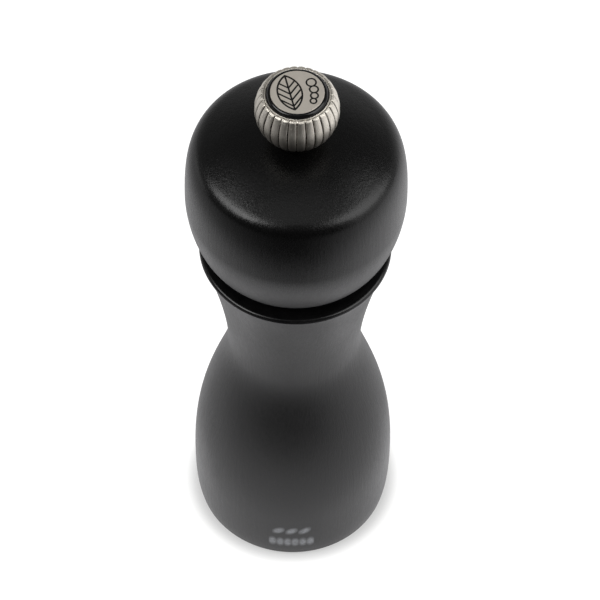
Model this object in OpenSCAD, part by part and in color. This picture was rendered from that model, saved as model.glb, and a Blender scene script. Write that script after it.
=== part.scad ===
// Manual pepper mill: turned wooden body and head, steel grinding mechanism, threaded adjusting knob.
// Millimetres. Origin at the centre of the base, on the surface the mill stands on, +Z up along the shaft.

/* [Body] */
// Radius where the side meets the rounded base edge
foot_r = 22.45; // [22:0.05:22.8]
// Largest radius of the belly
belly_r = 23.3; // [23:0.05:24]
// Height of the belly's widest circle
belly_z = 15.3; // [13:0.1:18]
// Radius of the waist
neck_r = 15.2; // [14.8:0.1:16.5]
// Height of the waist
neck_z = 62; // [58:0.5:66]
// Radius of the mouth, under the neck ring
mouth_r = 20.8; // [20:0.1:21]
// Height of the mouth
mouth_z = 95; // [92:0.5:98]
// Radius of the hopper bore that holds the peppercorns
hopper_r = 11.5; // [10.8:0.1:11.6]

/* [Neck ring] */
// Radius of the visible flange
ring_r = 21.4; // [21.2:0.05:21.7]
// Thickness of the visible flange
ring_t = 1; // [0.95:0.05:1.6]
// Height of the raised land that the head turns on
land_h = 1.95; // [1.3:0.05:2.1]

/* [Head] */
// Radius of the head's lower edge
head_bottom_r = 19.2; // [18.6:0.05:19.6]
// Largest radius of the head
head_r = 24.25; // [23.6:0.05:24.6]
// Height of the widest circle above the head's lower face
head_wide_h = 17; // [15:0.5:19]
// Radius where the shoulder meets the domed crown
crown_r = 19.5; // [19.2:0.05:20.4]
// Height of that circle above the head's lower face
crown_h = 33.45; // [32:0.05:34]
// Slope of the crown at that circle, in degrees
crown_slope = 22; // [20:1:27]

/* [Knob] */
// Radius of the fluted ball
ball_r = 9.1; // [9:0.05:9.5]
// Number of flutes round the ball, an even number
flutes = 28; // [20:2:32]
// Radius of the pocket for the insert and the medallion
pocket_r = 6.65; // [6.5:0.05:6.8]

/* [Shaft] */
// Width across the flats of the square shaft
shaft_w = 5; // [4.8:0.05:5.1]
// Radius of the threaded end, M5
thread_r = 2.5; // [2.3:0.05:2.5]

/* [Grinder] */
// Radial gap between rotor and stator in the fine stage, at rest
grind_gap = 0.45; // [0.4:0.01:0.6]
// Crushing grooves on the rotor's cone
rotor_grooves = 8; // [6:1:9]
// Fine teeth on the rotor's skirt
rotor_teeth = 36; // [30:1:40]
// Crushing grooves in the stator's funnel
stator_grooves = 12; // [8:1:14]
// Fine teeth in the stator's flare
stator_teeth = 40; // [32:1:44]
// Turns of the compression spring
spring_turns = 5; // [4:0.5:5.5]

/* [Hidden] */
$fn = 96;
eps = 0.01;           // overlap that keeps a cut clear of a face
run = 0.05;           // running clearance between faces that turn on each other

// Heights of the base stack: the plate lies in a recess, the stator's flange stands on the plate
recess_r = 19;
plate_z = 0.8;
plate_top = 1.6;
flange_top = 4;
flange_r = 15;
barrel_r = 14.6;      // bore of the body round the mechanism
barrel_top = 27;
base_edge = 1.2;      // rounding of the base edge
screw_circle = 16.7;  // radius of the circle of retaining screws

// Neck and head
sleeve_r = 14.2;
sleeve_z = mouth_z - 8;
tenon_r = 11.85;
ring_bore_r = tenon_r + 0.15;
head_z = mouth_z + ring_t + land_h + run;
tenon_z = head_z - 7.4;
drive_plate_t = 1.5;
drive_plate_z = tenon_z - drive_plate_t;
head_hole_r = 3.8;
tenon_screw_circle = 7.8;
crown_arc_r = crown_r / sin(crown_slope);
crown_arc_z = head_z + crown_h - crown_arc_r * cos(crown_slope);
seat_r = 4.8;         // flat on the crown under the knob
seat_z = crown_arc_z + sqrt(crown_arc_r ^ 2 - seat_r ^ 2);

// Knob, from its own foot on the head's seat
knob_z = seat_z + run;
ball_z = knob_z + ball_r + 0.15;
collar_r = 4.3;
rim_z = ball_z + 5.15;
ball_cut_z = rim_z - 0.45;
rim_r = 7.35;
pocket_z = rim_z - 2.4;
knob_hole_top = pocket_z - 1.4;
insert_web = 1.4;
insert_top = rim_z + 0.6;
insert_edge_z = rim_z - 0.1;
medallion_r = 5.75;
medallion_top = rim_z + 0.7;
engraving = 0.15;

// Shaft and grinder
shaft_foot_z = 6.5;
shaft_tip_z = knob_hole_top - 1.2;
thread_z = seat_z - 3;
tail_r = 2;
tail_z = 2.9;
nut_t = 1.4;
washer_t = 0.7;
rotor_z = 2.6;
rotor_top = 14.6;
skirt_z = 3.2;        // the fine stage runs between these two heights
throat_z = 6.2;
skirt_r = 11.1;
throat_r = 9.9;
rotor_tip_r = 5.6;
rotor_cone_z = 7;
rotor_cone_r = 9.3;
stator_top = 14;
stator_r = 13;
stator_mouth_r = 11.5;

// Bridge, spring and its seat
bridge_z = 24;
bridge_t = 1.2;
bridge_w = 6;
leg_x = stator_r + run;
leg_t = 1;
leg_foot_z = 6;
rivet_z = 9;
seat_t = 0.8;
seat_top = bridge_z - run;
wire_r = 0.45;
spring_r = 4.45;
spring_z = rotor_top + run + wire_r;
spring_top = seat_top - seat_t - run / 2 - wire_r;

// Points of a cubic curve from p0 to p3, without p0
function bezier(p0, p1, p2, p3, n) =
    [for (i = [1:n]) let (t = i / n, s = 1 - t)
        s ^ 3 * p0 + 3 * s ^ 2 * t * p1 + 3 * s * t ^ 2 * p2 + t ^ 3 * p3];

// Points of an arc about c from angle a0 to a1
function arc(c, r, a0, a1, n) =
    [for (i = [0:n]) let (a = a0 + (a1 - a0) * i / n) c + r * [cos(a), sin(a)]];

module revolve(outline) {
    rotate_extrude() polygon(outline);
}

module around(count) {
    for (i = [0:count - 1]) rotate([0, 0, i * 360 / count]) children();
}

// Outer side of the body, from the base edge up to the mouth
function body_side() = concat(
    arc([foot_r - base_edge, base_edge], base_edge, -90, 0, 5),
    bezier([foot_r, base_edge], [foot_r + 0.9, base_edge + 4],
        [belly_r, belly_z - 3.1], [belly_r, belly_z], 8),
    bezier([belly_r, belly_z], [belly_r, belly_z + 26.9],
        [neck_r, neck_z - 10.9], [neck_r, neck_z], 26),
    bezier([neck_r, neck_z], [neck_r, neck_z + 7.8],
        [mouth_r - 3, mouth_z - 10.9], [mouth_r, mouth_z], 18)
);

module mill_body() {
    color([0.06, 0.06, 0.065])
    difference() {
        revolve(concat(
            [[recess_r, 0]], body_side(),
            [[sleeve_r, mouth_z], [sleeve_r, sleeve_z], [hopper_r, sleeve_z], [hopper_r, barrel_top],
             [barrel_r, barrel_top], [barrel_r, flange_top + run], [flange_r + 0.1, flange_top + run],
             [flange_r + 0.1, plate_top], [recess_r, plate_top]]
        ));
        around(3) translate([screw_circle, 0, plate_top - eps]) cylinder(r = 1.15, h = 9);
    }
}

// Plastic collar pressed into the mouth: its flange shows, its land carries the head
module neck_ring() {
    flange_z = mouth_z + ring_t;
    land_r = 17;
    color([0.03, 0.03, 0.03])
    revolve(concat(
        [[ring_bore_r, sleeve_z], [sleeve_r, sleeve_z], [sleeve_r, mouth_z]],
        [[ring_r - 0.1, mouth_z], [ring_r, mouth_z + 0.1]],
        arc([ring_r - 0.85, flange_z - 0.85], 0.85, 0, 90, 6),
        [[land_r, flange_z], [land_r, flange_z + land_h], [ring_bore_r, flange_z + land_h]]
    ));
}

// Outer side of the head, from its lower edge over the shoulder and the crown to the knob's seat
function head_side() = concat(
    arc([head_bottom_r - 0.5, head_z + 0.5], 0.5, -90, -25, 3),
    bezier([head_bottom_r, head_z + 0.4], [head_bottom_r + 3.8, head_z + 4.4],
        [head_r, head_z + head_wide_h - 4], [head_r, head_z + head_wide_h], 16),
    bezier([head_r, head_z + head_wide_h], [head_r, head_z + head_wide_h + 13.6],
        [crown_r + 3.5 * cos(crown_slope), head_z + crown_h - 3.5 * sin(crown_slope)],
        [crown_r, head_z + crown_h], 24),
    [for (i = [1:10]) let (a = crown_slope + (asin(seat_r / crown_arc_r) - crown_slope) * i / 10)
        [crown_arc_r * sin(a), crown_arc_z + crown_arc_r * cos(a)]]
);

module mill_head() {
    color([0.05, 0.05, 0.055])
    difference() {
        revolve(concat(
            [[head_hole_r, tenon_z], [tenon_r - 0.6, tenon_z], [tenon_r, tenon_z + 0.6],
             [tenon_r, head_z]],
            head_side(),
            [[head_hole_r, seat_z]]
        ));
        around(3) translate([tenon_screw_circle, 0, tenon_z - eps]) cylinder(r = 1.1, h = 6);
    }
}

// Steel disc under the head's tenon; its square hole turns the shaft
module drive_plate() {
    hole_w = shaft_w + 0.15;
    color([0.72, 0.72, 0.74])
    difference() {
        translate([0, 0, drive_plate_z]) cylinder(r = 11, h = drive_plate_t);
        translate([-hole_w / 2, -hole_w / 2, drive_plate_z - 1]) cube([hole_w, hole_w, 4]);
        around(3) translate([tenon_screw_circle, 0, drive_plate_z - 1]) cylinder(r = 1.3, h = 4);
    }
}

// Round-headed screw standing on its head's underside, driven up, with a cross recess in the head
module cross_screw(head_r, head_t, shank_r, shank_l) {
    slot_w = head_r * 0.28;
    difference() {
        union() {
            revolve(concat(
                [[0, 0], [0, -head_t]],
                arc([head_r - 0.35, 0.35 - head_t], 0.35, -90, 0, 4),
                [[head_r, 0]]
            ));
            cylinder(r = shank_r, h = shank_l - shank_r);
            translate([0, 0, shank_l - shank_r - eps]) cylinder(r1 = shank_r, r2 = 0.2, h = shank_r);
        }
        for (a = [0, 90]) rotate([0, 0, a])
            translate([-head_r * 0.6, -slot_w / 2, -head_t - 1]) cube([head_r * 1.2, slot_w, 1 + head_t * 0.6]);
    }
}

module drive_plate_screws() {
    color([0.78, 0.78, 0.8])
    around(3) translate([tenon_screw_circle, 0, drive_plate_z]) cross_screw(2.1, 1.2, 1.1, 7);
}

// Cast ball with meridian flutes, a collar below, and a beaded rim round the insert's pocket
module adjusting_knob() {
    color([0.62, 0.6, 0.56])
    difference() {
        union() {
            difference() {
                intersection() {
                    translate([0, 0, ball_z]) sphere(r = ball_r);
                    translate([0, 0, knob_z]) cylinder(r = ball_r + 1, h = ball_cut_z - knob_z);
                }
                around(flutes) translate([0, 0, ball_z]) rotate([90, 0, 0]) rotate([0, 0, -65])
                    rotate_extrude(angle = 105) translate([ball_r + 0.06, 0]) circle(r = 0.26, $fn = 24);
            }
            translate([0, 0, knob_z]) cylinder(r = collar_r, h = 5);
            revolve(concat(
                [[pocket_r - 1, pocket_z - 0.6], [rim_r, pocket_z - 0.6]],
                arc([rim_r - 0.35, rim_z - 0.35], 0.35, 0, 90, 4),
                [[pocket_r - 1, rim_z]]
            ));
        }
        translate([0, 0, pocket_z]) cylinder(r = pocket_r, h = 4);
        translate([0, 0, knob_z - 1]) cylinder(r = thread_r + run, h = knob_hole_top - knob_z + 1);
    }
}

// Black plastic cup between the knob and the medallion, its edge domed up to the disc
module knob_insert() {
    r = pocket_r - run;
    bore = medallion_r + run;
    color([0.02, 0.02, 0.02])
    revolve(concat(
        [[0, pocket_z], [r, pocket_z], [r, insert_edge_z]],
        bezier([r, insert_edge_z], [r - 0.06, insert_edge_z + 0.32],
            [bore + 0.4, insert_top], [bore + 0.08, insert_top], 8),
        [[bore, insert_top - 0.08], [bore, pocket_z + insert_web], [0, pocket_z + insert_web]]
    ));
}

// Lens between two equal arcs, standing on its lower point, h tall
module lens(h, w) {
    r = (h * h + w * w) / (4 * w);
    intersection() {
        translate([r - w / 2, h / 2]) circle(r = r);
        translate([w / 2 - r, h / 2]) circle(r = r);
    }
}

// Ring of line w wide, r to its middle
module line_ring(r, w) {
    difference() {
        circle(r = r + w / 2, $fn = 32);
        circle(r = r - w / 2, $fn = 32);
    }
}

// Line emblem: a leaf with its veins, and a hanging stem of peppercorns beside it
module emblem() {
    line_w = 0.38;
    leaf_h = 9.8;
    leaf_w = 5.5;
    stem_r = 7.6;
    translate([-0.4, -5]) rotate([0, 0, 14]) {
        difference() {
            lens(leaf_h, leaf_w);
            translate([0, line_w * 1.4]) lens(leaf_h - line_w * 2.8, leaf_w - line_w * 2);
        }
        translate([-line_w / 2, line_w]) square([line_w, leaf_h - line_w * 2]);
        intersection() {
            lens(leaf_h, leaf_w);
            for (side = [-1, 1], k = [0:3]) translate([0, 1.2 + 1.65 * k])
                rotate([0, 0, -side * 46]) translate([-line_w / 2, 0]) square([line_w, 4]);
        }
    }
    translate([3.6 - stem_r, -0.65]) for (k = [0:3]) rotate([0, 0, 25 - 15.4 * k + 0.9 * k * k])
        translate([stem_r, 0]) line_ring(1.02 - 0.12 * k, line_w);
}

module knob_medallion() {
    edge = 0.15;
    color([0.6, 0.58, 0.54])
    difference() {
        revolve([
            [0, pocket_z + insert_web], [medallion_r, pocket_z + insert_web],
            [medallion_r, medallion_top - edge], [medallion_r - edge, medallion_top], [0, medallion_top],
        ]);
        translate([0, 0, medallion_top - engraving]) linear_extrude(1) emblem();
    }
}

module medallion_enamel() {
    color([0.02, 0.02, 0.02])
    translate([0, 0, medallion_top - engraving]) linear_extrude(engraving - 0.03) emblem();
}

// Square bar with a turned tail for the rotor and a threaded tip, drawn at its outside diameter
module drive_shaft() {
    tip_edge = 0.5;
    color([0.75, 0.75, 0.77])
    union() {
        translate([-shaft_w / 2, -shaft_w / 2, shaft_foot_z])
            cube([shaft_w, shaft_w, thread_z - shaft_foot_z]);
        translate([0, 0, tail_z]) cylinder(r = tail_r, h = shaft_foot_z - tail_z + 1);
        translate([0, 0, thread_z - 1]) cylinder(r = thread_r, h = shaft_tip_z - tip_edge - thread_z + 1);
        translate([0, 0, shaft_tip_z - tip_edge])
            cylinder(r1 = thread_r, r2 = thread_r - tip_edge, h = tip_edge);
    }
}

// Slanted straight groove cut into a cone at radius r and height z
module groove(r, z, w, depth, length, slant, lean) {
    translate([r, 0, z]) rotate([0, lean, 0]) rotate([slant, 0, 0])
        translate([-depth, -w / 2, -length / 2]) cube([depth + 3, w, length]);
}

// Crushing cone over a toothed skirt, square-bored for the shaft, recessed below for the nut
module grinding_rotor() {
    hole_w = shaft_w + 0.05;
    cone_lean = atan((rotor_tip_r - rotor_cone_r) / (rotor_top - rotor_cone_z));
    skirt_lean = atan((throat_r - skirt_r) / (throat_z - skirt_z));
    color([0.42, 0.42, 0.43])
    difference() {
        revolve([
            [0, rotor_z], [skirt_r, rotor_z], [skirt_r, skirt_z], [throat_r, throat_z],
            [rotor_cone_r, rotor_cone_z], [rotor_tip_r, rotor_top], [0, rotor_top],
        ]);
        around(rotor_grooves)
            groove((rotor_cone_r + rotor_tip_r) / 2, (rotor_cone_z + rotor_top) / 2, 1.7, 1.3, 14, 28, cone_lean);
        around(rotor_teeth)
            groove((throat_r + skirt_r) / 2, (throat_z + skirt_z) / 2, 0.8, 0.5, 7, 22, skirt_lean);
        translate([-hole_w / 2, -hole_w / 2, shaft_foot_z]) cube([hole_w, hole_w, 20]);
        translate([0, 0, 0]) cylinder(r = tail_r + run, h = 10);
        translate([0, 0, 0]) cylinder(r = 6.2, h = tail_z + nut_t + washer_t);
    }
}

module rotor_washer() {
    color([0.75, 0.75, 0.77])
    translate([0, 0, tail_z + nut_t]) difference() {
        cylinder(r = 4.4, h = washer_t);
        translate([0, 0, -1]) cylinder(r = tail_r + run, h = 3);
    }
}

module rotor_nut() {
    color([0.7, 0.7, 0.72])
    translate([0, 0, tail_z]) difference() {
        cylinder(r = 3.8, h = nut_t, $fn = 6);
        translate([0, 0, -1]) cylinder(r = tail_r + run, h = 4, $fn = 48);
    }
}

// Fixed grinding ring: funnel above the throat, toothed flare below it, flange notched for the plate's lugs
module grinding_stator() {
    flare_r = skirt_r + grind_gap;
    gullet_r = throat_r + grind_gap;
    funnel_z = throat_z + 0.6;
    funnel_lean = atan((stator_mouth_r - gullet_r) / (stator_top - funnel_z));
    flare_lean = atan((gullet_r - flare_r) / (throat_z - skirt_z));
    color([0.4, 0.4, 0.41])
    difference() {
        revolve([
            [flare_r, plate_top], [flange_r, plate_top], [flange_r, flange_top], [stator_r, flange_top],
            [stator_r, stator_top], [stator_mouth_r, stator_top], [gullet_r, funnel_z],
            [gullet_r, throat_z], [flare_r, skirt_z],
        ]);
        around(stator_grooves) translate([(gullet_r + stator_mouth_r) / 2, 0, (funnel_z + stator_top) / 2])
            rotate([0, funnel_lean, 0]) rotate([-24, 0, 0]) translate([-2, -0.8, -3.4]) cube([2.7, 1.6, 14]);
        around(stator_teeth) translate([(gullet_r + flare_r) / 2, 0, (throat_z + skirt_z) / 2])
            rotate([0, flare_lean, 0]) rotate([-18, 0, 0]) translate([-1, -0.35, -3.4]) cube([1.35, 0.7, 5.2]);
        around(3) rotate([0, 0, 60]) translate([flange_r - 1.1, -1.3, 0]) cube([2, 2.6, plate_top + 1.9]);
        for (side = [0, 180]) rotate([0, 0, side]) translate([stator_r - 1.4, 0, rivet_z])
            rotate([0, 90, 0]) cylinder(r = 1, h = 2);
    }
}

// Bent strap over the stator: its eye guides the shaft and carries the spring seat's thrust
module guide_bridge() {
    span = leg_x + leg_t;
    color([0.7, 0.7, 0.72])
    difference() {
        union() {
            translate([-span, -bridge_w / 2, bridge_z]) cube([2 * span, bridge_w, bridge_t]);
            translate([0, 0, bridge_z]) cylinder(r = 6.5, h = bridge_t);
            for (side = [0, 180]) rotate([0, 0, side])
                translate([leg_x, -bridge_w / 2, leg_foot_z]) cube([leg_t, bridge_w, bridge_z - leg_foot_z + 0.5]);
        }
        translate([0, 0, bridge_z - 1]) cylinder(r = 3.7, h = 4);
        for (side = [0, 180]) rotate([0, 0, side]) translate([leg_x - 1, 0, rivet_z])
            rotate([0, 90, 0]) cylinder(r = 1, h = 4);
    }
}

module bridge_rivets() {
    rivet_x = leg_x + leg_t;
    color([0.7, 0.7, 0.72])
    for (side = [0, 180]) rotate([0, 0, side]) translate([0, 0, rivet_z]) rotate([0, 90, 0]) {
        translate([0, 0, stator_r - 1.4]) cylinder(r = 1, h = rivet_x - stator_r + 1.4 + 0.1);
        translate([0, 0, rivet_x]) cylinder(r1 = 1.8, r2 = 1.4, h = 0.35);
    }
}

// Height of the spring's centreline after a share u of its turns, with a closed turn at each end
function coil_height(u) =
    let (end = 0.9 / spring_turns, rise = 0.9 * 2.15 * wire_r)
    lookup(u, [[0, spring_z], [end, spring_z + rise], [1 - end, spring_top - rise], [1, spring_top]]);

module spring() {
    sides = 10;
    steps = round(spring_turns * 26);
    ring = [for (i = [0:steps]) let (u = i / steps, a = 360 * spring_turns * u)
        for (j = [0:sides - 1]) let (b = 360 * j / sides, r = spring_r + wire_r * cos(b))
            [r * cos(a), r * sin(a), coil_height(u) + wire_r * sin(b)]];
    walls = [for (i = [0:steps - 1], j = [0:sides - 1]) let (k = (j + 1) % sides)
        [i * sides + j, i * sides + k, (i + 1) * sides + k, (i + 1) * sides + j]];
    start = [for (j = [sides - 1:-1:0]) j];
    finish = [for (j = [0:sides - 1]) steps * sides + j];
    color([0.8, 0.8, 0.82])
    polyhedron(points = ring, faces = concat(walls, [start], [finish]), convexity = 10);
}

// Thrust washer over the spring, square-holed so that it turns with the shaft
module spring_seat() {
    hole_w = shaft_w + 0.2;
    color([0.78, 0.78, 0.8])
    translate([0, 0, seat_top - seat_t]) difference() {
        cylinder(r = 6, h = seat_t);
        translate([-hole_w / 2, -hole_w / 2, -1]) cube([hole_w, hole_w, 3]);
    }
}

// Ring screwed into the base recess; three lugs lock the stator against turning
module retaining_plate() {
    color([0.75, 0.75, 0.77])
    difference() {
        union() {
            translate([0, 0, plate_z]) cylinder(r = recess_r - 0.15, h = plate_top - plate_z);
            around(3) rotate([0, 0, 60]) translate([flange_r - 1, -1.2, plate_z]) cube([0.9, 2.4, 2.6]);
        }
        translate([0, 0, -1]) cylinder(r = 12.3, h = 4);
        around(3) translate([screw_circle, 0, -1]) cylinder(r = 1.3, h = 4);
    }
}

module retaining_screws() {
    color([0.78, 0.78, 0.8])
    around(3) translate([screw_circle, 0, plate_z]) cross_screw(2, 0.7, 1.15, 9.6);
}

mill_body();
neck_ring();
mill_head();
drive_plate();
drive_plate_screws();
adjusting_knob();
knob_insert();
knob_medallion();
medallion_enamel();
drive_shaft();
grinding_rotor();
rotor_washer();
rotor_nut();
grinding_stator();
guide_bridge();
bridge_rivets();
spring();
spring_seat();
retaining_plate();
retaining_screws();
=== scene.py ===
import math
import random

import bpy
import numpy as np
from mathutils import Matrix, Vector


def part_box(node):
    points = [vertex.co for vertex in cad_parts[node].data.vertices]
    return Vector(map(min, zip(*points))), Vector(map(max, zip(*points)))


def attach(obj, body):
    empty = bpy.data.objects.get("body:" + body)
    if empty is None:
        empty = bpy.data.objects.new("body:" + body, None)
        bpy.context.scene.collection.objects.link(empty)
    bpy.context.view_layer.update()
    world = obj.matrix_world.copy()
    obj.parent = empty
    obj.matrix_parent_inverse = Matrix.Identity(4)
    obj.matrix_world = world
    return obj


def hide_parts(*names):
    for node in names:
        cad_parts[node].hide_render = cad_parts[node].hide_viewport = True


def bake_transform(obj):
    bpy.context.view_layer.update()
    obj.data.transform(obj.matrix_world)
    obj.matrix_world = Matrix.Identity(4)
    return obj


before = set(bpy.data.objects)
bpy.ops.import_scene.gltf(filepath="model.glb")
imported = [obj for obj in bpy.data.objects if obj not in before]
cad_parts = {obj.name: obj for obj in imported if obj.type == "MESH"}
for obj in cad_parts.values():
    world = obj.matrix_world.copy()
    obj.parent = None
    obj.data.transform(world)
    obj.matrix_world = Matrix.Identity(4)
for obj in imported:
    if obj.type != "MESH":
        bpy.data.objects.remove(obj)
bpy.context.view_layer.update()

random.seed(7)
MM = 0.001
TAU = 2 * math.pi


def top(node):
    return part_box(node)[1].z / MM


def foot(node):
    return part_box(node)[0].z / MM


def reach(node):
    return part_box(node)[1].x / MM


# ---------------------------------------------------------------- sizes, in millimetres

# read from the parts in model.glb
MOUTH_Z, BELLY_R = top("mill_body"), reach("mill_body")
RING_R, SLEEVE_Z = reach("neck_ring"), foot("neck_ring")
HEAD_R, TENON_Z, SEAT_Z = reach("mill_head"), foot("mill_head"), top("mill_head")
KNOB_Z, RIM_Z, BALL_R = foot("adjusting_knob"), top("adjusting_knob"), reach("adjusting_knob")
POCKET_Z, INSERT_Z = foot("knob_insert"), top("knob_insert")

# inside the boxes of the parts in model.glb, and the same as in the CAD
RUN = 0.05
FOOT_R, BASE_EDGE, BELLY_Z = BELLY_R - 0.85, 1.2, 15.3
NECK_R, NECK_Z, MOUTH_R = 15.2, 62, 20.8
RECESS_R, PLATE_TOP = 19, 1.6
FLANGE_R, FLANGE_TOP = 15.1, 4.05
BARREL_R, BARREL_TOP, HOPPER_R = 14.6, 27, 11.5
SLEEVE_R, RING_BORE_R, RING_T, LAND_R = 14.2, 12, 1, 17
HEAD_Z, HEAD_FOOT_R = top("neck_ring") + RUN, 19.2
HEAD_WIDE_Z, TENON_R, HEAD_HOLE_R = HEAD_Z + 17, 11.85, 3.8
SLOPE = math.radians(22)
CROWN_R, CROWN_Z, SEAT_R = 19.5, HEAD_Z + 33.45, 4.8
CROWN_ARC = CROWN_R / math.sin(SLOPE)
BALL_Z, FLUTES, COLLAR_R, KNOB_BORE_R, KNOB_POCKET_R = RIM_Z - 5.15, 28, 4.3, 2.55, 6.65
INSERT_R, INSERT_BORE_R, WEB = 6.6, 5.8, 1.4
THREAD_R, THREAD_PITCH, THREAD_Z = 2.5, 0.8, SEAT_Z - 3

# ---------------------------------------------------------------- outlines, as (r, z)


def bezier(p0, p1, p2, p3, n):
    """Points on a curve from p0 to p3 with the handles p1 and p2, without p0 itself."""
    return [
        tuple(
            (1 - t) ** 3 * a + 3 * (1 - t) ** 2 * t * b + 3 * (1 - t) * t * t * c + t**3 * d
            for a, b, c, d in zip(p0, p1, p2, p3)
        )
        for t in (i / n for i in range(1, n + 1))
    ]


def arc(r, z, radius, a0, a1, n):
    """Points round the centre (r, z), from the angle a0 to a1 in degrees."""
    return [
        (r + radius * math.cos(a), z + radius * math.sin(a))
        for a in (math.radians(a0 + (a1 - a0) * i / n) for i in range(n + 1))
    ]


def eased(corners, n=5):
    """Points through corners (r, z, ease): a corner with an ease is rounded over that length."""
    out = []
    for i, (r, z, ease) in enumerate(corners):
        if not ease:
            out.append((r, z))
            continue
        here = np.array((r, z), float)
        before = np.array(corners[i - 1][:2], float) - here
        after = np.array(corners[(i + 1) % len(corners)][:2], float) - here
        a = here + before / np.linalg.norm(before) * ease
        b = here + after / np.linalg.norm(after) * ease
        for k in range(n + 1):
            t = k / n
            out.append(tuple((1 - t) ** 2 * a + 2 * t * (1 - t) * here + t * t * b))
    return out


# ---------------------------------------------------------------- rows and meshes


def angles(n):
    return np.arange(n) * TAU / n


def around(r, turn, z):
    """A row of points at the radius r, the angle turn and the height z, each a number or an array."""
    return np.stack(np.broadcast_arrays(r * np.cos(turn), r * np.sin(turn), z), 1)


def pole(z):
    """A row of one point on the axis."""
    return np.array([[0, 0, z]])


def circle_rows(outline, n):
    return [pole(z) if r < 1e-6 else around(r, angles(n), z) for r, z in outline]


def piece(name, mesh, body, instead=(), sharp=38):
    mesh.validate()
    mesh.shade_smooth()
    mesh.set_sharp_from_angle(angle=math.radians(sharp))
    made = bpy.data.objects.new(name, mesh)
    bpy.context.scene.collection.objects.link(made)
    if body:
        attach(made, body)
    if instead:
        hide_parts(*instead)
    return made


def loft(name, rows, body, instead=(), closed=True, sharp=38, marks=None):
    """A skin over rows of points. A row is an array of n points round the axis, or one point on it.

    Marks are one number or one array of n for each row, and become the attribute "wear".
    """
    verts, start, marked = [], [], []
    for i, row in enumerate(rows):
        row = np.atleast_2d(row)
        start.append((len(verts), len(row)))
        verts.extend(map(tuple, row))
        if marks is not None:
            marked.extend(np.broadcast_to(marks[i], len(row)))
    faces = []
    for i in range(len(rows) if closed else len(rows) - 1):
        (a, na), (b, nb) = start[i], start[(i + 1) % len(rows)]
        n = max(na, nb)
        for j in range(n if n > 1 else 0):
            k = (j + 1) % n
            quad = [a + j % na, a + k % na, b + k % nb, b + j % nb]
            faces.append(list(dict.fromkeys(quad)))
    mesh = bpy.data.meshes.new(name)
    mesh.from_pydata([tuple(c * MM for c in v) for v in verts], [], faces)
    if marks is not None:
        layer = mesh.attributes.new("wear", "FLOAT", "POINT")
        layer.data.foreach_set("value", np.array(marked, np.float32))
    return piece(name, mesh, body, instead, sharp)


def lathe(name, outline, body, instead=(), n=256, closed=True):
    return loft(name, circle_rows(outline, n), body, instead, closed)


def merged(name, parts, body, instead=(), sharp=38):
    """One piece from several made with no body."""
    verts, faces = [], []
    for part in parts:
        base = len(verts)
        verts.extend(v.co[:] for v in part.data.vertices)
        faces.extend([base + i for i in f.vertices] for f in part.data.polygons)
        bpy.data.objects.remove(part)
    mesh = bpy.data.meshes.new(name)
    mesh.from_pydata(verts, [], faces)
    return piece(name, mesh, body, instead, sharp)


# ---------------------------------------------------------------- body, ring and head


def wooden_body():
    side = (
        arc(FOOT_R - BASE_EDGE, BASE_EDGE, BASE_EDGE, -90, 0, 8)
        + bezier((FOOT_R, BASE_EDGE), (FOOT_R + 0.9, 5.2), (BELLY_R, 12.2), (BELLY_R, BELLY_Z), 20)
        + bezier((BELLY_R, BELLY_Z), (BELLY_R, 42.2), (NECK_R, NECK_Z - 10.9), (NECK_R, NECK_Z), 70)
        + bezier((NECK_R, NECK_Z), (NECK_R, NECK_Z + 7.8),
                 (MOUTH_R - 3, MOUTH_Z - 10.9), (MOUTH_R, MOUTH_Z - 0.25), 50)
        + [(MOUTH_R - 0.2, MOUTH_Z)]
    )
    bores = eased([
        (SLEEVE_R, MOUTH_Z, 0.2), (SLEEVE_R, SLEEVE_Z, 0),
        (HOPPER_R, SLEEVE_Z, 0.25), (HOPPER_R, BARREL_TOP, 0.25),
        (BARREL_R, BARREL_TOP, 0.1), (BARREL_R, FLANGE_TOP, 0.1),
        (FLANGE_R, FLANGE_TOP, 0), (FLANGE_R, PLATE_TOP, 0.1),
        (RECESS_R, PLATE_TOP, 0.05), (RECESS_R, 0, 0.25),
    ])
    lathe("body_lacquered", side + bores, "base", ["mill_body"])


def collar():
    """The neck ring: a sleeve in the mouth, a rounded flange on it, and the land that the head turns on."""
    flange_z, land_z, edge = MOUTH_Z + RING_T, HEAD_Z - RUN, 0.85
    outline = (
        eased([(RING_BORE_R, SLEEVE_Z, 0.3), (SLEEVE_R, SLEEVE_Z, 0.3), (SLEEVE_R, MOUTH_Z, 0)])
        + [(RING_R - 0.12, MOUTH_Z), (RING_R - 0.03, MOUTH_Z + 0.03), (RING_R, MOUTH_Z + 0.12)]
        + arc(RING_R - edge, flange_z - edge, edge, 0, 90, 12)
        + eased([(LAND_R + 0.2, flange_z, 0.15), (LAND_R, land_z, 0.3), (RING_BORE_R, land_z, 0.4)])
    )
    lathe("ring_gloss", outline, "base", ["neck_ring"])


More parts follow.
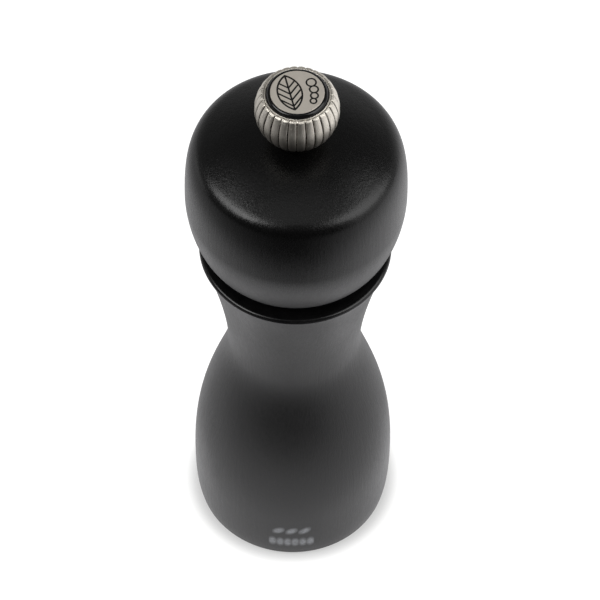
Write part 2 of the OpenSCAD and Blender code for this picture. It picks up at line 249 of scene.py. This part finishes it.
def wooden_head():
    handle = 3.5
    crown = [
        (CROWN_ARC * math.sin(a), CROWN_Z + CROWN_ARC * (math.cos(a) - math.cos(SLOPE)))
        for a in np.linspace(SLOPE, math.asin(SEAT_R / CROWN_ARC), 40)[1:]
    ]
    outline = (
        eased([(HEAD_HOLE_R, TENON_Z, 0.3), (TENON_R, TENON_Z, 0.6), (TENON_R, HEAD_Z, 0.2)])
        + arc(HEAD_FOOT_R - 0.5, HEAD_Z + 0.5, 0.5, -90, -25, 6)
        + bezier((HEAD_FOOT_R, HEAD_Z + 0.4), (HEAD_FOOT_R + 3.8, HEAD_Z + 4.4),
                 (HEAD_R, HEAD_WIDE_Z - 4), (HEAD_R, HEAD_WIDE_Z), 40)
        + bezier((HEAD_R, HEAD_WIDE_Z), (HEAD_R, HEAD_WIDE_Z + 13.6),
                 (CROWN_R + handle * math.cos(SLOPE), CROWN_Z - handle * math.sin(SLOPE)),
                 (CROWN_R, CROWN_Z), 70)
        + crown
        + [(HEAD_HOLE_R + 0.4, SEAT_Z), (HEAD_HOLE_R + 0.15, SEAT_Z - 0.05), (HEAD_HOLE_R, SEAT_Z - 0.25)]
    )
    lathe("head_lacquered", outline, "head", ["mill_head"], n=288)


wooden_body()
collar()
wooden_head()

# ---------------------------------------------------------------- knob

CREASE_R = 7.09


def knob_outline():
    """The knob from its bore to its pocket as (r, z, lobe), where lobe is how far the flutes show."""
    edge, rows = 0.2, 8
    line = [(KNOB_BORE_R, KNOB_Z + edge, 0), (KNOB_BORE_R + 0.2, KNOB_Z, 0)]
    line += [(r, z, 0) for r, z in arc(COLLAR_R - edge, KNOB_Z + edge, edge, -90, 0, 4)]
    line += [(COLLAR_R, KNOB_Z + 0.7, 0), (COLLAR_R + 0.02, KNOB_Z + 1.25, 0)]
    # a is the angle down from the top of the ball; the flutes fade in over 8 degrees above the collar
    for a in np.linspace(151.2, 58.9, 90):
        lobe = min(1, max(0, (150.5 - a) / 8))
        down = math.radians(a)
        line.append((BALL_R * math.sin(down), BALL_Z + BALL_R * math.cos(down), lobe))
    # and out again over the rows of the shoulder, to a crease under the rim
    shoulder = bezier((7.79, RIM_Z - 0.45), (7.66, RIM_Z - 0.24),
                      (7.4, RIM_Z - 0.12), (7.14, RIM_Z - 0.16), rows)
    line += [(r, z, 1 - (i + 1) / rows) for i, (r, z) in enumerate(shoulder)]
    line += [(CREASE_R, RIM_Z - 0.24, 0)]
    line += [(r, z, 0) for r, z in arc(6.87, RIM_Z - edge, edge, 0, 180, 10)]
    line += [(KNOB_POCKET_R + 0.01, RIM_Z - 0.5, 0), (KNOB_POCKET_R, POCKET_Z, 0)]
    return line


def knob():
    """The cast knob. Each groove has its own strength and wanders in width, and is marked as worn."""
    per_flute = 24
    n = FLUTES * per_flute
    step = np.arange(n) / per_flute
    # the points lie closer together at the grooves, where s is 1; it is 0 in the middle of a lobe
    turn = (step - 0.11 * np.sin(TAU * step)) * TAU / FLUTES
    s = np.abs((turn * FLUTES / TAU) % 1 - 0.5) * 2
    which = np.floor(step + 0.5).astype(int) % FLUTES
    strength = np.array([random.uniform(0.72, 1.15) for _ in range(FLUTES)])[which]
    wander = np.array([random.uniform(0, TAU) for _ in range(FLUTES)])[which]
    lobe_depth, groove_depth, end_depth = 0.13, 0.3, 0.05
    bore_top = POCKET_Z - WEB
    rows = [pole(bore_top), circle_rows([(KNOB_BORE_R, bore_top)], n)[0]]
    marks = [0, 0]
    for r, z, lobe in knob_outline():
        out = np.array([r, z - BALL_Z]) / math.hypot(r, z - BALL_Z)
        girth = min(1, r / BALL_R)
        groove = np.exp(-(((1 - s) / (0.12 + 0.02 * np.sin(z * 1.1 + wander))) ** 2)) * strength
        # a shallow dip where the flutes end at the shoulder
        end = math.exp(-(((lobe - 0.55) / 0.25) ** 2)) if 0 < lobe < 1 and z > BALL_Z else 0
        sink = lobe * (lobe_depth * girth * s**2 + groove_depth * groove * girth) + end_depth * end
        fluted = around(r - sink * out[0], turn, z - sink * out[1])
        rows.append(fluted if lobe else circle_rows([(r, z)], n)[0])
        creased = 0.8 if abs(r - CREASE_R) < 0.01 else 0
        marks.append(np.maximum(lobe * groove, creased))
    rows.append(pole(POCKET_Z))
    marks.append(0)
    loft("knob_cast", rows, "knob", ["adjusting_knob"],
         closed=False, sharp=50, marks=marks)


def bezel():
    """The black cup in the knob's pocket, with a domed edge round the medallion."""
    edge_z = INSERT_Z - 0.7
    outline = (
        [(0, POCKET_Z), (INSERT_R, POCKET_Z), (INSERT_R, edge_z)]
        + bezier((INSERT_R, edge_z), (6.54, INSERT_Z - 0.38), (6.2, INSERT_Z), (5.88, INSERT_Z), 14)
        + [(INSERT_BORE_R + 0.02, INSERT_Z - 0.02), (INSERT_BORE_R, INSERT_Z - 0.1)]
        + [(INSERT_BORE_R, POCKET_Z + WEB), (0, POCKET_Z + WEB)]
    )
    lathe("knob_ring", outline, "knob", ["knob_insert"], n=192, closed=False)


knob()
bezel()

# ---------------------------------------------------------------- shaft and screws


def thread_radius(turn, z, pitch, tip, depth):
    """Radius of a right-handed screw thread at an angle and a height."""
    u = (z / pitch - turn / TAU) % 1
    return tip - depth * np.clip(np.abs(u - 0.5) * 2.6 - 0.25, 0, 1)


def shaft():
    """A square bar with a turned tail below and a thread with a chamfered tip above."""
    turn = angles(96)
    half = reach("drive_shaft")
    flats = half / np.maximum(np.abs(np.cos(turn)), np.abs(np.sin(turn)))
    lo, hi = foot("drive_shaft"), top("drive_shaft")
    tail_r, tail_z, corner_r = 2.0, 6.5, 3.4
    undercut_r, undercut = 2.12, 0.6
    # the greatest radius at each height, where the flats leave more
    levels = [(lo, tail_r - 0.3), (lo + 0.3, tail_r), (tail_z, tail_r), (tail_z, 3.1), (6.9, corner_r),
              (40, corner_r), (80, corner_r), (THREAD_Z - 0.5, corner_r), (THREAD_Z, 3.0)]
    rows = [pole(lo)]
    rows += [around(np.minimum(flats, limit), turn, z) for z, limit in levels]
    for z in np.arange(THREAD_Z + 0.001, hi, 0.08):
        fade = min(1, (hi - z) / 0.5)
        r = thread_radius(turn, z, THREAD_PITCH, THREAD_R, 0.42) - 0.45 * (1 - fade)
        rows.append(around(undercut_r if z < THREAD_Z + undercut else r, turn, z))
    rows.append(pole(hi))
    loft("shaft_bar", rows, "shaft", ["drive_shaft"], closed=False, sharp=30)


def screw(x, y, z, head_r, head_t, shank_r, length):
    """A round-headed cross screw seen from below, its head under z and its shank above."""
    n = 96
    turn = angles(n) + random.uniform(0, 1.5)
    rows = [pole(-head_t * 0.42)]
    # the head's face: a dome with a cross and a round well cut into it
    for r in np.linspace(0.08, 1, 26) * head_r * 0.995:
        dome = -head_t * (1 - 0.28 * (r / head_r) ** 4)
        across = np.minimum(np.abs(r * np.cos(turn)), np.abs(r * np.sin(turn)))
        arm = 0.13 * head_r * (1.25 - 0.6 * r / head_r)
        cut = np.clip((arm - across) / (0.05 * head_r) + 0.5, 0, 1)
        cut = cut * np.clip((0.66 * head_r - r) / 0.2, 0, 1)
        well = max(0, 1 - (r / (0.26 * head_r)) ** 4)
        rows.append(around(r, turn, dome + head_t * 0.58 * np.maximum(cut, well)))
    edge = (head_r, -head_t * 0.62), (head_r, -0.1), (head_r - 0.1, 0), (shank_r, 0), (shank_r, 0.5)
    rows += [around(r, turn, level) for r, level in edge]
    for level in np.linspace(0.6, length - 0.1, 40):
        taper = min(1, (length - level) / 1.6)
        rows.append(around(thread_radius(turn, level, 1.0, shank_r, 0.3) * taper, turn, level))
    rows.append(pole(length))
    rows = [row + np.array([x, y, z]) for row in rows]
    return loft("part", rows, None, closed=False, sharp=40)


def screws(name, node, body, circle, z, **size):
    """Three screws on a circle, as one piece."""
    turns = 0, TAU / 3, 2 * TAU / 3
    parts = [screw(circle * math.cos(a), circle * math.sin(a), z, **size) for a in turns]
    merged(name, parts, body, [node], sharp=40)


shaft()
screws("tenon_screws", "drive_plate_screws", "head", 7.8, foot("drive_plate"),
       head_r=2.1, head_t=1.2, shank_r=1.1, length=7)
screws("base_screws", "retaining_screws", "base", 16.7, foot("retaining_plate"),
       head_r=2, head_t=0.7, shank_r=1.15, length=9.6)

# ---------------------------------------------------------------- spring


def spring():
    """A coil of round wire with a closed turn at each end."""
    lo, hi = foot("spring"), top("spring")
    wire, mean, turns, sides = 0.45, 4.45, 5, 14
    closed, lift = 0.9 / turns, 2.74 * wire
    steps = turns * 64
    section = angles(sides)
    rows = []
    for i in range(steps + 1):
        u = i / steps
        z = np.interp(u, [0, closed, 1 - closed, 1], [lo + wire, lo + lift, hi - lift, hi - wire])
        rows.append(around(mean + wire * np.cos(section), TAU * turns * u, z + wire * np.sin(section)))
    ends = rows[0].mean(0), rows[-1].mean(0)
    rows = [ends[0]] + rows + [ends[1]]
    made = loft("spring_wire", rows, None, ["spring"], closed=False, sharp=50)
    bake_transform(made)


spring()

# ---------------------------------------------------------------- materials


class Graph:
    """A node tree, built from short calls."""

    def __init__(self, tree):
        self.tree = tree

    def node(self, kind, **settings):
        made = self.tree.nodes.new(kind)
        for key, value in settings.items():
            setattr(made, key, value)
        return made

    def put(self, socket, value):
        if isinstance(value, bpy.types.NodeSocket):
            self.tree.links.new(value, socket)
        else:
            socket.default_value = value

    def math(self, operation, *values):
        made = self.node("ShaderNodeMath", operation=operation)
        for socket, value in zip(made.inputs, values):
            self.put(socket, value)
        return made.outputs[0]

    def span(self, value, a, b, c=0.0, d=1.0, smooth=False):
        """The value's range from a to b, mapped to c to d and held there."""
        made = self.node("ShaderNodeMapRange", interpolation_type="SMOOTHSTEP" if smooth else "LINEAR")
        for socket, v in zip(made.inputs, (value, a, b, c, d)):
            self.put(socket, v)
        return made.outputs[0]

    def blend(self, share, a, b):
        """A number between the numbers a and b."""
        made = self.node("ShaderNodeMix", data_type="FLOAT")
        self.put(made.inputs[0], share)
        self.put(made.inputs[2], a)
        self.put(made.inputs[3], b)
        return made.outputs[0]

    def split(self, vector):
        made = self.node("ShaderNodeSeparateXYZ")
        self.put(made.inputs[0], vector)
        return made.outputs


class Look(Graph):
    """A material's node tree. Lengths are in millimetres of the object's own space."""

    def __init__(self, name):
        self.material = bpy.data.materials.new(name)
        self.material.use_nodes = True
        super().__init__(self.material.node_tree)
        self.shader = self.tree.nodes["Principled BSDF"]
        coord = self.node("ShaderNodeTexCoord")
        self.place = self.scaled(coord.outputs["Object"], (1 / MM,) * 3)

    def scaled(self, vector, scale):
        made = self.node("ShaderNodeMapping")
        self.put(made.inputs["Vector"], vector)
        made.inputs["Scale"].default_value = scale
        return made.outputs["Vector"]

    def noise(self, scale=1.0, stretch=(1, 1, 1), detail=4.0, rough=0.5, bend=0.0):
        made = self.node("ShaderNodeTexNoise")
        self.put(made.inputs["Vector"], self.scaled(self.place, stretch))
        made.inputs["Scale"].default_value = scale
        made.inputs["Detail"].default_value = detail
        made.inputs["Roughness"].default_value = rough
        made.inputs["Distortion"].default_value = bend
        return made.outputs["Fac"]

    def spread(self, noise, c=0.0, d=1.0):
        """Noise, which lies mostly between 0.3 and 0.7, mapped to c to d."""
        return self.span(noise, 0.3, 0.7, c, d)

    def mix(self, share, a, b):
        """A colour between the colours a and b."""
        made = self.node("ShaderNodeMix", data_type="RGBA")
        self.put(made.inputs["Factor"], share)
        self.put(made.inputs[6], a if isinstance(a, bpy.types.NodeSocket) else (*a, 1))
        self.put(made.inputs[7], b if isinstance(b, bpy.types.NodeSocket) else (*b, 1))
        return made.outputs[2]

    def bump(self, height, depth, strength, normal=None):
        made = self.node("ShaderNodeBump")
        made.inputs["Strength"].default_value = strength
        made.inputs["Distance"].default_value = depth * MM
        self.put(made.inputs["Height"], height)
        if normal is not None:
            self.put(made.inputs["Normal"], normal)
        return made.outputs["Normal"]

    def radius(self, x, y):
        return self.math("SQRT", self.math("ADD", self.math("MULTIPLY", x, x), self.math("MULTIPLY", y, y)))

    def finish(self, **values):
        for key, value in values.items():
            socket = self.shader.inputs[key.replace("_", " ")]
            if isinstance(value, tuple) and len(value) == 3:
                value = (*value, 1)
            self.put(socket, value)
        return self.material


def lacquer(name, gloss, tone, dull=0.0, printed=False):
    """Black lacquer over turned beech: the grain still shows. Dull roughens it by the head's lower edge."""
    m = Look(name)
    x, y, z = m.split(m.place)
    fleck = m.noise(stretch=(2.6, 2.6, 0.42), detail=5, rough=0.62)
    streak = m.noise(stretch=(0.9, 0.9, 0.035), rough=0.55, bend=0.6)
    speck = m.noise(9.0, detail=2)
    wave = m.noise(0.12, stretch=(1, 1, 0.6), detail=2, rough=0.4)
    ground = m.mix(m.span(fleck, 0.3, 0.75), (tone,) * 3, (tone * 2.6, tone * 2.5, tone * 2.6))
    rough = m.math("ADD", m.spread(fleck, gloss, gloss + 0.075), m.spread(wave, -0.02, 0.02))
    rough = m.math("ADD", rough, m.span(z, HEAD_Z + 15, HEAD_Z + 4, 0, dull, smooth=True))
    height = m.math("ADD", m.math("MULTIPLY", fleck, 0.55), m.math("MULTIPLY", streak, 0.8))
    normal = m.bump(height, 0.07, 0.7, m.bump(speck, 0.016, 0.5))
    if printed:
        ink = m.math("MULTIPLY", print_mark(m, x, z), m.math("LESS_THAN", y, 0.0))
        mottled = m.span(m.noise(1.4, detail=3, rough=0.6), 0.34, 0.62, 0.62, 1.0)
        ground = m.mix(m.math("MULTIPLY", ink, mottled), ground, (0.235, 0.243, 0.26))
    return m.finish(Base_Color=ground, Roughness=rough, Normal=normal)


def print_mark(m, x, z):
    """A soft grey print low on the front: a row of six dots under three slanting leaves."""
    def blob(dx, dz, a, b, turn=0.0):
        """A soft oval with the half widths a and b, turned by an angle."""
        c, s = math.cos(turn), math.sin(turn)
        u = m.math("ADD", m.math("MULTIPLY", dx, c / a), m.math("MULTIPLY", dz, s / a))
        v = m.math("ADD", m.math("MULTIPLY", dx, -s / b), m.math("MULTIPLY", dz, c / b))
        return m.span(m.radius(u, v), 0.35, 1.5, 1, 0, smooth=True)

    def within(shape, half):
        return m.math("MULTIPLY", shape, m.math("LESS_THAN", m.math("ABSOLUTE", x), half))

    dot_pitch, dot_z = 1.8, 6.5
    # the shift is whole cells and a half, so that three dots lie on each side of the middle
    cell = m.math("PINGPONG", m.math("ADD", x, 20.5 * dot_pitch), dot_pitch / 2)
    dots = within(blob(cell, m.math("SUBTRACT", z, dot_z), 0.9, 1.7), 3 * dot_pitch)
    leaf_half, leaf_z = 1.55, 11.7
    cell = m.math("WRAP", x, leaf_half, -leaf_half)
    leaves = within(blob(cell, m.math("SUBTRACT", z, leaf_z), 1.5, 0.95, 0.75), 3 * leaf_half)
    return m.math("MAXIMUM", dots, leaves)


def plastic(name, rough):
    m = Look(name)
    fine = m.noise(3.0, rough=0.6)
    broad = m.noise(0.35, detail=2)
    return m.finish(
        Base_Color=m.mix(m.spread(broad), (0.0035, 0.0035, 0.0038), (0.007, 0.0068, 0.007)),
        Roughness=m.math("ADD", m.spread(fine, rough - 0.03, rough + 0.04), m.spread(broad, 0, 0.03)),
        Normal=m.bump(fine, 0.01, 0.25),
    )


def pewter():
    """Cast zinc with an antique finish: bright lobes, dark brown patina in the flutes and in pits, and
    painted shade that darkens the colour towards the foot.
    """
    m = Look("antique_pewter")
    z = m.split(m.place)[2]
    wear = m.node("ShaderNodeAttribute", attribute_name="wear").outputs["Fac"]
    cloud = m.noise(0.55, detail=5, rough=0.6)
    grit = m.noise(4.5, detail=5, rough=0.65)
    bead = m.noise(2.6, detail=2, rough=0.6)
    pits = m.span(m.noise(2.2, detail=3, rough=0.7), 0.62, 0.78, smooth=True)
    silver = m.mix(m.spread(cloud), (0.78, 0.725, 0.63), (0.94, 0.885, 0.785))
    silver = m.mix(m.span(grit, 0.35, 0.75), silver, (0.89, 0.845, 0.765))
    flutes = m.span(m.math("MULTIPLY", wear, m.span(bead, 0.3, 0.68, 1.4, 0.25)), 0.12, 0.5, smooth=True)
    dark = m.math("MAXIMUM", flutes, m.math("MULTIPLY", pits, 0.45))
    # painted shade: the colour darkens towards the knob's foot, under the ball
    dark = m.math("MAXIMUM", dark, m.span(z, BALL_Z + 1.5, BALL_Z - 4.5, 0, 0.88))
    return m.finish(
        Base_Color=m.mix(dark, silver, (0.018, 0.013, 0.009)),
        Metallic=1.0,
        Roughness=m.math("ADD", m.spread(grit, 0.26, 0.38), m.math("MULTIPLY", dark, 0.2)),
        Normal=m.bump(grit, 0.1, 0.9, m.bump(pits, 0.08, 0.8)),
    )


def satin_disc():
    """The medallion: fine-blasted pewter."""
    m = Look("satin_pewter")
    fine = m.noise(7.0, rough=0.6)
    cloud = m.noise(0.4, detail=3)
    colour = m.mix(m.spread(cloud), (0.66, 0.61, 0.535), (0.74, 0.685, 0.605))
    return m.finish(
        Base_Color=m.mix(m.span(fine, 0.3, 0.75, 0, 0.5), colour, (0.80, 0.745, 0.665)),
        Metallic=0.35,
        Roughness=m.spread(fine, 0.5, 0.62),
        Normal=m.bump(fine, 0.02, 0.4),
    )


def enamel():
    m = Look("black_enamel")
    fine = m.noise(6.0, detail=3, rough=0.6)
    return m.finish(
        Base_Color=m.mix(m.span(fine, 0.35, 0.7), (0.0015, 0.0014, 0.0013), (0.006, 0.005, 0.0045)),
        Roughness=m.spread(fine, 0.3, 0.45),
        Normal=m.bump(fine, 0.01, 0.4),
    )


def steel(name, low, high, rough, stretch, grime=0.15):
    """Machined steel: drawn or turned lines along the direction with the small stretch."""
    m = Look(name)
    lines = m.noise(stretch=stretch, rough=0.6)
    cloud = m.noise(0.5, rough=0.55)
    spots = m.span(m.noise(1.6, rough=0.7), 0.6, 0.8, smooth=True)
    colour = m.mix(m.spread(lines), low, high)
    return m.finish(
        Base_Color=m.mix(m.math("MULTIPLY", spots, grime), colour, (0.09, 0.075, 0.06)),
        Metallic=1.0,
        Roughness=m.math("ADD", m.spread(lines, rough - 0.05, rough + 0.07), m.spread(cloud, -0.03, 0.06)),
        Normal=m.bump(lines, 0.02, 0.35),
    )


wood_plain = lacquer("lacquered_beech", 0.235, 0.0007, dull=0.22)
wood_printed = lacquer("lacquered_beech_printed", 0.335, 0.003, printed=True)
bar = steel("drawn_steel", (0.52, 0.51, 0.5), (0.66, 0.65, 0.63), 0.3, (3, 3, 0.08))
sheet_steel = steel("plated_sheet", (0.56, 0.56, 0.55), (0.7, 0.7, 0.69), 0.32, (0.7, 5, 5))
hard = steel("hardened_steel", (0.11, 0.11, 0.115), (0.2, 0.2, 0.205), 0.42, (2, 2, 2), 0.4)
bright = steel("plated_screws", (0.6, 0.6, 0.6), (0.74, 0.74, 0.74), 0.24, (4, 4, 4), 0.1)
wire = steel("spring_wire_steel", (0.45, 0.45, 0.45), (0.6, 0.6, 0.6), 0.28, (2, 2, 2), 0.1)

LOOKS = {
    "body_lacquered": wood_printed, "head_lacquered": wood_plain,
    "ring_gloss": plastic("black_collar", 0.2), "knob_ring": plastic("black_inlay", 0.14),
    "knob_cast": pewter(), "knob_medallion": satin_disc(), "medallion_enamel": enamel(),
    "drive_plate": sheet_steel, "guide_bridge": sheet_steel, "retaining_plate": sheet_steel,
    "spring_seat": sheet_steel, "rotor_washer": bright, "rotor_nut": bright, "bridge_rivets": bright,
    "tenon_screws": bright, "base_screws": bright, "grinding_rotor": hard, "grinding_stator": hard,
    "shaft_bar": bar, "spring_wire": wire,
}
for name, material in LOOKS.items():
    mesh = bpy.data.objects[name].data
    mesh.materials.clear()
    mesh.materials.append(material)

# thin stamped and turned parts get a small worn edge
for name in ("drive_plate", "guide_bridge", "retaining_plate", "spring_seat", "rotor_washer", "rotor_nut"):
    edge = bpy.data.objects[name].modifiers.new("edge", "BEVEL")
    edge.width = 0.08 * MM
    edge.segments = 2
    edge.limit_method = "ANGLE"
    edge.angle_limit = math.radians(50)
    edge.harden_normals = True

# ---------------------------------------------------------------- floor, light and camera

FLOOR_HALF, FLOOR_Z = 3.0, -0.00003
AIM, LAMP_DISTANCE = Vector((0, 0, 0.09)), 1.0


def sheet(name):
    """A square sheet just under the mill."""
    h = FLOOR_HALF
    mesh = bpy.data.meshes.new(name)
    corners = [(-h, -h, FLOOR_Z), (h, -h, FLOOR_Z), (h, h, FLOOR_Z), (-h, h, FLOOR_Z)]
    mesh.from_pydata(corners, [], [(0, 1, 2, 3)])
    made = bpy.data.objects.new(name, mesh)
    bpy.context.scene.collection.objects.link(made)
    return made


def floor_look():
    """A white sweep, bright by its own emission, with a painted contact shadow: the emission is lower where
    the mill stands.
    """
    m = Look("pale_floor")
    x, y, _ = m.split(m.place)
    return m.finish(
        Base_Color=m.mix(m.noise(0.02, detail=3), (0.48, 0.48, 0.48), (0.52, 0.52, 0.52)),
        Roughness=1.0,
        Specular_IOR_Level=0.0,
        Emission_Color=(1.0, 1.0, 0.995),
        # painted shadow: the floor's emission falls from 0.93 to 0.45 close round the mill's foot
        Emission_Strength=m.span(m.radius(x, y), 22.0, 27.0, 0.45, 0.93, smooth=True),
    )


def painted_reflection_look():
    """A painted reflection of the studio floor, for the lacquer to see: bright round the mill, dimmer close
    round its foot as painted shade, falling off to a dark front.
    """
    m = Look("painted_floor_reflection")
    m.tree.nodes.remove(m.shader)
    x, y, _ = m.split(m.place)
    r = m.radius(x, y)
    # how far a place lies to the right, to the front and to the back, each from 0 to 1
    right = m.math("POWER", m.math("MAXIMUM", m.math("DIVIDE", x, r), 0.0), 2.0)
    front = m.math("MAXIMUM", m.math("DIVIDE", y, m.math("MULTIPLY", r, -1.0)), 0.0)
    rear = m.math("MAXIMUM", m.math("DIVIDE", y, r), 0.0)

    def more(value, share, amount):
        return m.math("ADD", value, m.math("MULTIPLY", share, amount))

    def less(value, share, amount):
        return m.math("SUBTRACT", value, m.math("MULTIPLY", share, amount))

    far = more(less(more(0.47, right, 0.58), front, 0.41), rear, 0.15)
    far = m.math("MAXIMUM", far, 0.05)
    # painted shade: the reflected floor is dimmer close round the mill's foot and darker to the front
    near = less(m.span(r, 22.5, 31, 0.9, 1.12, smooth=True), front, 0.18)
    near = less(near, m.span(r, 31, 48, smooth=True), less(0.37, front, 0.25))
    near = more(near, right, 0.08)
    share = m.span(r, less(75.0, front, 10.0), less(190.0, front, 60.0), smooth=True)
    glow = m.node("ShaderNodeEmission")
    glow.inputs["Color"].default_value = (0.99, 0.985, 1.0, 1)
    m.put(glow.inputs["Strength"], m.blend(share, near, far))
    m.put(m.tree.nodes["Material Output"].inputs["Surface"], glow.outputs[0])
    return m.material


def soft_light(name, side, height, radiance, wide, tall):
    """A soft box round the mill: side 0 is in front and 90 to the right, height is above the floor.

    Wide and tall are half its size. All four are in degrees, seen from the mill.
    """
    a, e = math.radians(side), math.radians(height)
    toward = Vector((math.sin(a) * math.cos(e), -math.cos(a) * math.cos(e), math.sin(e)))
    lamp = bpy.data.lights.new(name, "AREA")
    lamp.shape = "RECTANGLE"
    lamp.size = 2 * LAMP_DISTANCE * math.tan(math.radians(wide))
    lamp.size_y = 2 * LAMP_DISTANCE * math.tan(math.radians(tall))
    lamp.energy = radiance * math.pi * lamp.size * lamp.size_y
    made = bpy.data.objects.new(name, lamp)
    bpy.context.scene.collection.objects.link(made)
    made.location = AIM + toward * LAMP_DISTANCE
    made.rotation_mode = "QUATERNION"
    made.rotation_quaternion = toward.to_track_quat("Z", "Y")
    made.visible_camera = False


def room():
    """Plain white to the camera. The mill sees a dark front, a lighter back and a pale wall low behind."""
    world = bpy.data.worlds.new("studio")
    bpy.context.scene.world = world
    world.use_nodes = True
    g = Graph(world.node_tree)
    east, north, height = g.split(g.node("ShaderNodeTexCoord").outputs["Generated"])
    # the wall is brighter on the right
    wall = g.math("MULTIPLY", g.span(height, 0.12, 0.6, 1.0, 0.0), g.span(north, 0.0, 0.8))
    wall = g.math("MULTIPLY", wall, g.span(east, -0.5, 0.7, 0.24, 0.62))
    seen = g.math("ADD", wall, g.span(north, -1.0, 1.0, 0.03, 0.13))
    camera_ray = g.node("ShaderNodeLightPath").outputs["Is Camera Ray"]
    background = g.tree.nodes["Background"]
    g.put(background.inputs["Strength"], g.blend(camera_ray, seen, 1.0))
    background.inputs["Color"].default_value = (1, 1, 1, 1)


def photo_camera():
    """The photo's view: from in front, 55 degrees above the floor, with a slight roll."""
    elevation, distance, look_z, roll = math.radians(55), 0.850, 0.0738, math.radians(0.76)
    lens = bpy.data.cameras.new("camera")
    lens.sensor_width = 36
    lens.lens = 225.0
    lens.shift_x = 0.009
    lens.shift_y = 0.0006
    lens.clip_start = 0.05
    lens.clip_end = 20
    camera = bpy.data.objects.new("camera", lens)
    bpy.context.scene.collection.objects.link(camera)
    back = Vector((0, -math.cos(elevation), math.sin(elevation)))
    camera.location = Vector((0, 0, look_z)) + back * distance
    camera.rotation_mode = "QUATERNION"
    rolled = Matrix.Rotation(roll, 4, "Z").to_quaternion()
    camera.rotation_quaternion = back.to_track_quat("Z", "Y") @ rolled
    bpy.context.scene.camera = camera


floor = sheet("studio_floor")
floor.data.materials.append(floor_look())
floor.visible_glossy = False

# only reflections see this sheet: a painted reflection of the floor
glow = sheet("studio_glow")
glow.data.materials.append(painted_reflection_look())
glow.visible_camera = False
glow.visible_diffuse = False
glow.visible_shadow = False
glow.visible_transmission = False

soft_light("left_box", -74, 49, 4.0, 18, 11)
soft_light("left_front_box", -48, 56, 1.3, 9, 8)
soft_light("left_low_box", -108, 7, 0.6, 16, 7)
soft_light("right_box", 79, 43, 2.0, 22, 19)
soft_light("right_front_box", 52, 50, 0.7, 8, 10)
soft_light("right_low_box", 74, 13, 0.75, 22, 9)
soft_light("top_box", 0, 82, 0.36, 18, 12)
room()
photo_camera()

view = bpy.context.scene.view_settings
view.view_transform = "Standard"
view.look = "None"
